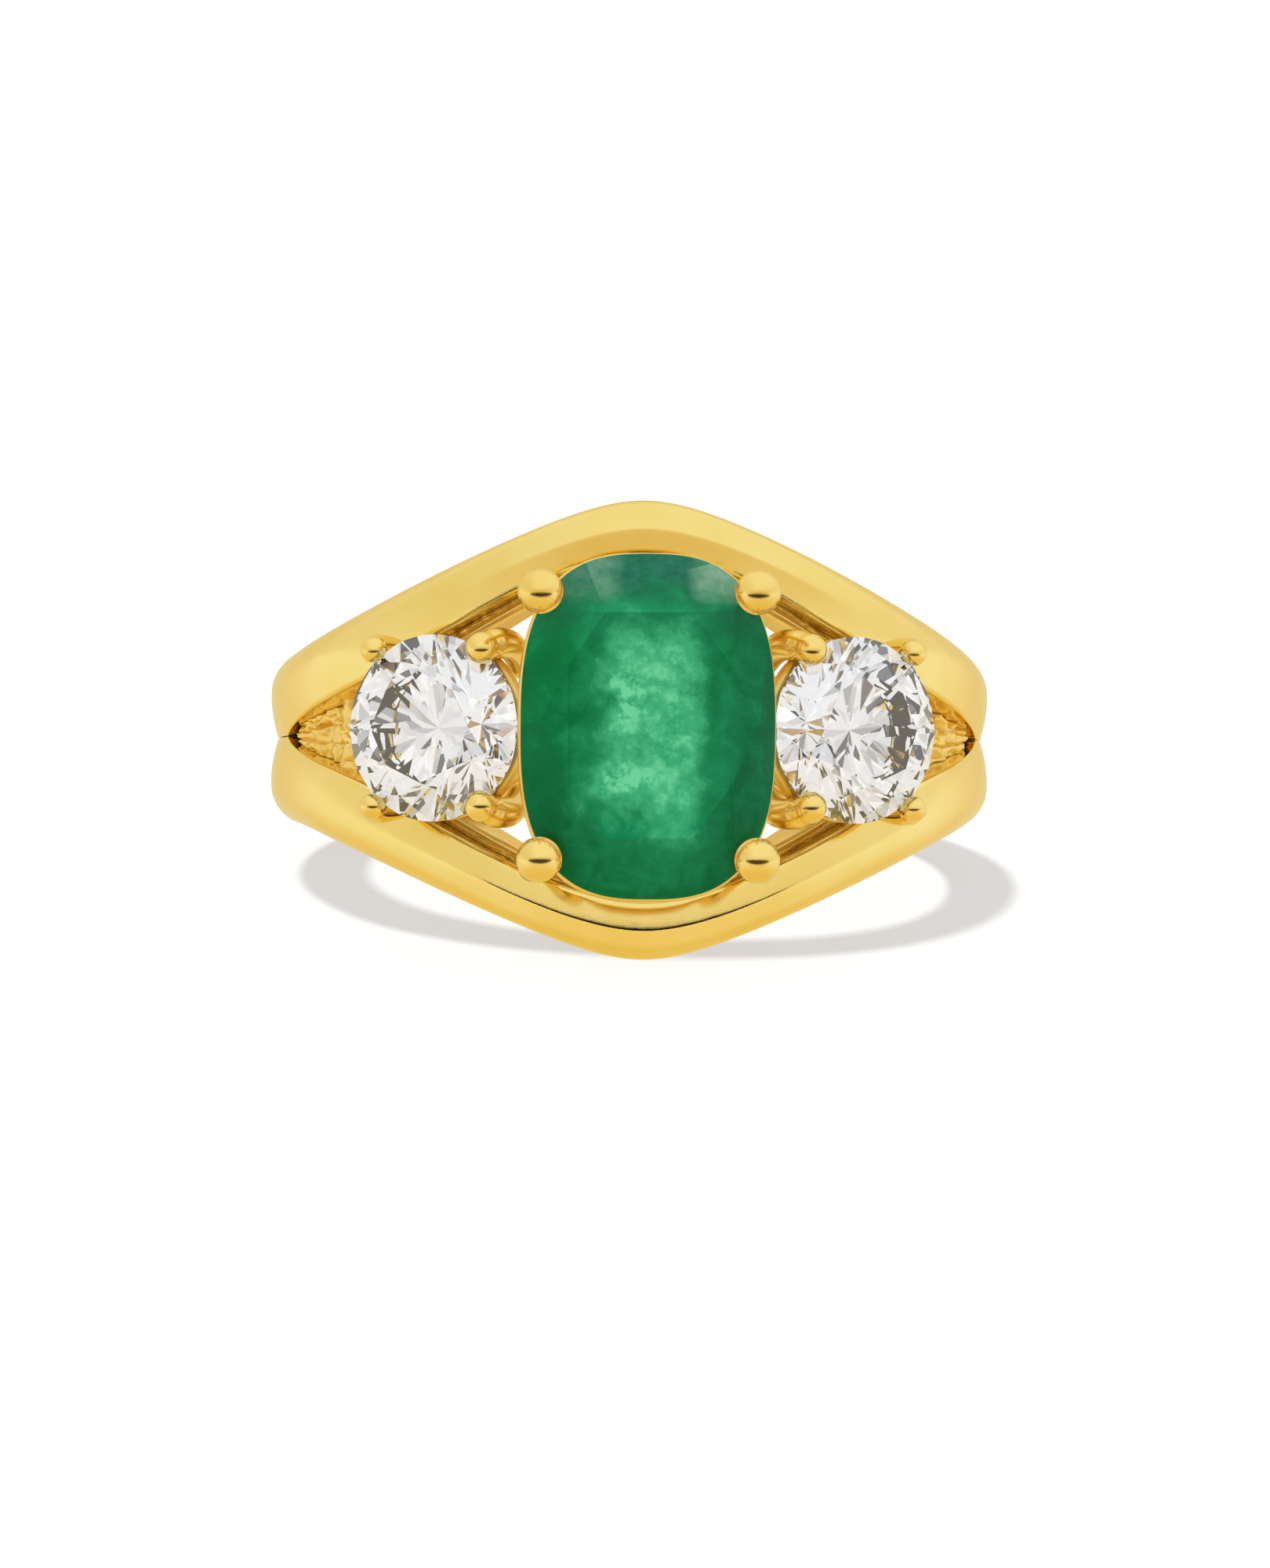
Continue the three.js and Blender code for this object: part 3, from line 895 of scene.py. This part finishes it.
def add_flags():
    """Grey flags high round the set. Only light that passes through the stones shows them."""
    dark = stage_material("flag_grey", (0.16, 0.165, 0.18))
    for i, (turn, lift, width, height) in enumerate(FLAGS):
        points = []
        for u, v in ((-1, -1), (1, -1), (1, 1), (-1, 1)):
            a = radians(turn + u * width / 2)
            e = radians(lift + v * height / 2)
            direction = Vector((sin(a) * cos(e), -cos(a) * cos(e), sin(e)))
            points.append(direction * FLAG_DISTANCE)
        flag = add_stage(f"flag_{i}", points, [(0, 1, 2, 3)], dark)
        hide_from_all_but_reflections(flag)
        flag.visible_glossy = False


def low_in_front(nodes, parts):
    """1 a little above the horizon in front, falling off sideways, upwards and towards the floor."""
    front = nodes.remap(parts["Y"], -0.97, -0.2, 1, 0)
    rising, falling = nodes.remap(parts["Z"], 0.0, 0.12, 0.2, 1), nodes.remap(parts["Z"], 0.14, 0.45, 1, 0)
    return nodes.product(front, nodes.product(rising, falling))


def room_below(nodes, parts):
    beside = nodes.remap(nodes.math("ABSOLUTE", parts["X"]), 0.5, 0.95, 0, 1)
    below = nodes.mix(beside, ROOM["below"], ROOM["below_sides"])
    return nodes.mix(nodes.remap(parts["Z"], -0.8, -0.1, 1, 0), below, ROOM["far_below"])


def room_in_gold(nodes, parts, dim):
    """The room that gold mirrors: white above, warmer near the horizon, and warmest in front and behind."""
    above = nodes.remap(parts["Z"], 0.0, 0.3, 0.3, 1)
    left = nodes.product(nodes.remap(parts["X"], -0.9, -0.3, 1, 0), above)
    room = nodes.mix(nodes.remap(parts["Z"], 0.1, 0.6, 0.25, 0), grey(1.0), ROOM["horizon"])
    room = nodes.mix(dim, room, ROOM["front"])
    room = nodes.mix(left, room, ROOM["left"])
    room = nodes.mix(nodes.remap(parts["Z"], -0.03, 0.0, 1, 0), room, room_below(nodes, parts))
    return nodes.mix(nodes.remap(parts["Y"], 0.55, 0.98, 0, 1), room, ROOM["behind"])


def add_world():
    """White for the camera, soft white light all round, and the room that gold and stones show."""
    world = bpy.data.worlds.new("studio")
    bpy.context.scene.world = world
    nodes = Nodes(world)
    parts = nodes.parts(nodes.add("TexCoord").outputs["Generated"])
    dim = low_in_front(nodes, parts)
    ray = nodes.add("LightPath").outputs
    in_stones = nodes.mix(dim, grey(1.06), grey(0.5))
    colour = nodes.mix(ray["Is Transmission Ray"], room_in_gold(nodes, parts, dim), in_stones)
    colour = nodes.mix(ray["Is Diffuse Ray"], colour, grey(0.7))
    colour = nodes.mix(ray["Is Camera Ray"], colour, grey(1.0))
    back = nodes.add("Background", {"Color": colour, "Strength": 1.0}).outputs["Background"]
    nodes.add("OutputWorld", {"Surface": back})


def add_lamp():
    """One lamp almost overhead, a little to the left. Only the upper band blocks it, for one shadow."""
    lamp = bpy.data.lights.new("lamp", "SUN")
    lamp.energy = LAMP["energy"]
    lamp.angle = radians(LAMP["angle"])
    thing = bpy.data.objects.new("lamp", lamp)
    bpy.context.collection.objects.link(thing)
    thing.rotation_euler = (radians(LAMP["tilt"][0]), radians(LAMP["tilt"][1]), 0)
    thing.visible_glossy = False
    thing.visible_transmission = False
    blockers = bpy.data.collections.new("lamp_blockers")
    blockers.objects.link(bpy.data.objects["band_upper_finished"])
    thing.light_linking.blocker_collection = blockers


def add_camera():
    """Looks at the middle of the finger hole. The picture is upright, so SENSOR is the sensor's height."""
    azimuth, elevation = radians(CAMERA["azimuth"]), radians(CAMERA["elevation"])
    camera = bpy.data.cameras.new("camera")
    camera.sensor_width = SENSOR
    camera.lens = SENSOR * CAMERA["distance"] / PICTURE_HEIGHT
    camera.shift_x, camera.shift_y = CAMERA_SHIFT
    camera.clip_start, camera.clip_end = 0.01, 10
    thing = bpy.data.objects.new("camera", camera)
    bpy.context.collection.objects.link(thing)
    back = Vector((sin(azimuth) * cos(elevation), -cos(azimuth) * cos(elevation), sin(elevation)))
    facing = (-back).to_track_quat("-Z", "Y").to_matrix().to_4x4()
    roll = Matrix.Rotation(radians(CAMERA["roll"]), 4, "Z")
    thing.matrix_world = Matrix.Translation(RING_CENTRE + back * CAMERA["distance"]) @ facing @ roll
    bpy.context.scene.camera = thing


# ---- The ring ----

MATERIALS = {
    "band_gold": gold("band_gold", (0.91, 0.73, 0.26), (0.89, 0.69, 0.21), 0.08, 0.15),
    "gallery_gold": gold("gallery_gold", (0.97, 0.75, 0.26), (0.92, 0.64, 0.17), 0.36, 0.8),
    "prong_gold": gold("prong_gold", (0.93, 0.72, 0.24), (0.9, 0.67, 0.19), 0.17, 0.1),
    "emerald": emerald_material(),
    "diamond": diamond_material(),
}


def add_centre():
    """The emerald in its basket. Gold doesn't mirror the emerald, so that no green shows in it."""
    place = setting_at(0, EMERALD["height"])
    emerald = add_stone("center_emerald", emerald_points(), place, "emerald")
    emerald.visible_glossy = False

    def oval(turns, grow):
        return on_ellipse(turns, LOWER_OVAL[0] + grow, LOWER_OVAL[1] + grow)

    add_gallery_ring("center_gallery_upper", cushion, CENTRE_RINGS["upper"], place)
    add_gallery_ring("center_gallery_lower", oval, CENTRE_RINGS["lower"], place)
    for height, y in HEIGHTS.items():
        for side, x in SIDES.items():
            towards = (x * CENTRE_PRONG_TOWARDS[0], y * CENTRE_PRONG_TOWARDS[1])
            add_prong(f"center_prong_{height}_{side}", towards, CENTRE_PRONG, place)


def add_side_stone(side, x):
    """A diamond in its basket."""
    place = setting_at(x * DIAMOND["angle"], DIAMOND["height"])
    add_stone(f"{side}_diamond", diamond_points(), place, "diamond")

    def circle(turns, radius):
        return on_ellipse(turns, radius, radius)

    for level, size in SIDE_RINGS.items():
        add_gallery_ring(f"{side}_gallery_{level}", circle, size, place)
    for which, away in (("outer", x), ("inner", -x)):
        for height, y in HEIGHTS.items():
            towards = (away * cos(radians(SIDE_PRONG_ANGLE)), y * sin(radians(SIDE_PRONG_ANGLE)))
            add_prong(f"{side}_prong_{which}_{height}", towards, SIDE_PRONGS[which], place)


def add_ring():
    for height, side in HEIGHTS.items():
        add_band(f"band_{height}", side)
        add_bar(f"gallery_bar_{height}", side)
    for side, x in SIDES.items():
        for kind, size in BRIDGES.items():
            add_bridge(f"{side}_{kind}_bridge", x, size)
    add_centre()
    for side, x in SIDES.items():
        add_side_stone(side, x)


add_ring()
add_floor()
add_dark_strip()
add_flags()
add_world()
add_lamp()
add_camera()
bpy.context.scene.view_settings.view_transform = "Standard"
